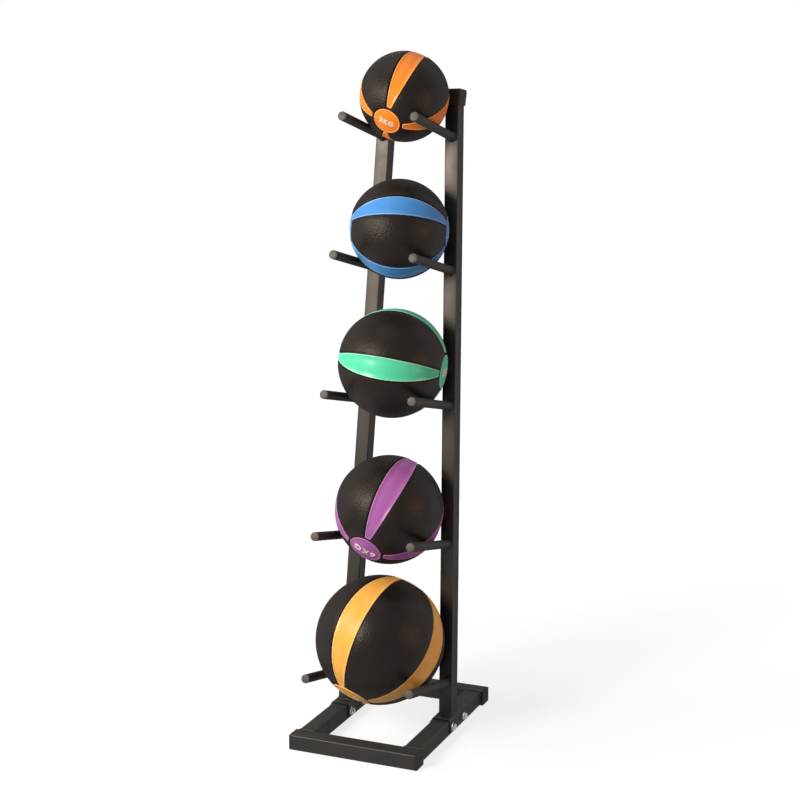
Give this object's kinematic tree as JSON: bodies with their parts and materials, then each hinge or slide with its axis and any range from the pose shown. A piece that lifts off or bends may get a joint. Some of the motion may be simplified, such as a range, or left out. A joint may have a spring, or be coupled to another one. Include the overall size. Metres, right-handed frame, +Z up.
{
  "type": "ball storage rack",
  "caption": "Free-standing vertical rack of black tube with leaning uprights and paired pegs on a rectangular base, carrying weighted rubber exercise balls with coloured stripes.",
  "frame": {"origin": "On the floor, under the middle of the base frame: midway between its side tubes and midway between its front and rear faces.", "axes": "+Z up; -Y is the front, the side that the pegs point to; +X is the right-hand side seen from the front."},
  "size_m": [0.3024, 0.435, 1.4637],
  "materials": {
    "black_powder_coat": "satin black powder coat",
    "black_plastic": "moulded black plastic",
    "cap_rubber": "matt black rubber",
    "peg_plug_plastic": "grey moulded plastic",
    "zinc_plated_steel": "bright zinc plate",
    "black_ball_rubber": "fine-grained black rubber",
    "ball_1_colour_rubber": "orange moulded rubber",
    "ball_2_colour_rubber": "blue moulded rubber",
    "ball_3_colour_rubber": "green moulded rubber",
    "ball_4_colour_rubber": "purple moulded rubber",
    "ball_5_colour_rubber": "yellow moulded rubber"
  },
  "bodies": {
    "rack": {"base_front_tube": "black_powder_coat", "base_rear_tube": "black_powder_coat", "base_side_tube_left": "black_powder_coat", "base_side_tube_right": "black_powder_coat", "foot_bracket_left": "black_powder_coat", "upright_left": "black_powder_coat", "foot_bracket_right": "black_powder_coat", "upright_right": "black_powder_coat", "peg_1_left": "black_powder_coat", "peg_1_right": "black_powder_coat", "peg_2_left": "black_powder_coat", "peg_2_right": "black_powder_coat", "peg_3_left": "black_powder_coat", "peg_3_right": "black_powder_coat", "peg_4_left": "black_powder_coat", "peg_4_right": "black_powder_coat", "peg_5_left": "black_powder_coat", "peg_5_right": "black_powder_coat", "end_plug_front_left": "black_plastic", "end_plug_front_right": "black_plastic", "end_plug_rear_left": "black_plastic", "end_plug_rear_right": "black_plastic", "top_cap_left": "cap_rubber", "top_cap_right": "cap_rubber", "peg_plug_1_left": "peg_plug_plastic", "peg_plug_1_right": "peg_plug_plastic", "peg_plug_2_left": "peg_plug_plastic", "peg_plug_2_right": "peg_plug_plastic", "peg_plug_3_left": "peg_plug_plastic", "peg_plug_3_right": "peg_plug_plastic", "peg_plug_4_left": "peg_plug_plastic", "peg_plug_4_right": "peg_plug_plastic", "peg_plug_5_left": "peg_plug_plastic", "peg_plug_5_right": "peg_plug_plastic", "foot_bolt_left_front": "zinc_plated_steel", "foot_bolt_left_rear": "zinc_plated_steel", "foot_bolt_right_front": "zinc_plated_steel", "foot_bolt_right_rear": "zinc_plated_steel", "foot_nut_left_front": "zinc_plated_steel", "foot_nut_left_rear": "zinc_plated_steel", "foot_nut_right_front": "zinc_plated_steel", "foot_nut_right_rear": "zinc_plated_steel"},
    "ball_1": {"ball_1_shell": "black_ball_rubber", "ball_1_bands": "ball_1_colour_rubber", "ball_1_valve": "black_plastic"},
    "ball_2": {"ball_2_shell": "black_ball_rubber", "ball_2_bands": "ball_2_colour_rubber", "ball_2_valve": "black_plastic"},
    "ball_3": {"ball_3_shell": "black_ball_rubber", "ball_3_bands": "ball_3_colour_rubber", "ball_3_valve": "black_plastic"},
    "ball_4": {"ball_4_shell": "black_ball_rubber", "ball_4_bands": "ball_4_colour_rubber", "ball_4_valve": "black_plastic"},
    "ball_5": {"ball_5_shell": "black_ball_rubber", "ball_5_bands": "ball_5_colour_rubber", "ball_5_valve": "black_plastic"}
  },
  "joints": [
    {"name": "ball_1_lift_off", "type": "slide", "parent": "rack", "child": "ball_1", "axis": [0, -0.9761, 0.2171], "range_m": [0, 0.4]},
    {"name": "ball_2_lift_off", "type": "slide", "parent": "rack", "child": "ball_2", "axis": [0, -0.9761, 0.2171], "range_m": [0, 0.4]},
    {"name": "ball_3_lift_off", "type": "slide", "parent": "rack", "child": "ball_3", "axis": [0, -0.9761, 0.2171], "range_m": [0, 0.4]},
    {"name": "ball_4_lift_off", "type": "slide", "parent": "rack", "child": "ball_4", "axis": [0, -0.9761, 0.2171], "range_m": [0, 0.4]},
    {"name": "ball_5_lift_off", "type": "slide", "parent": "rack", "child": "ball_5", "axis": [0, -0.9761, 0.2171], "range_m": [0, 0.4]}
  ]
}
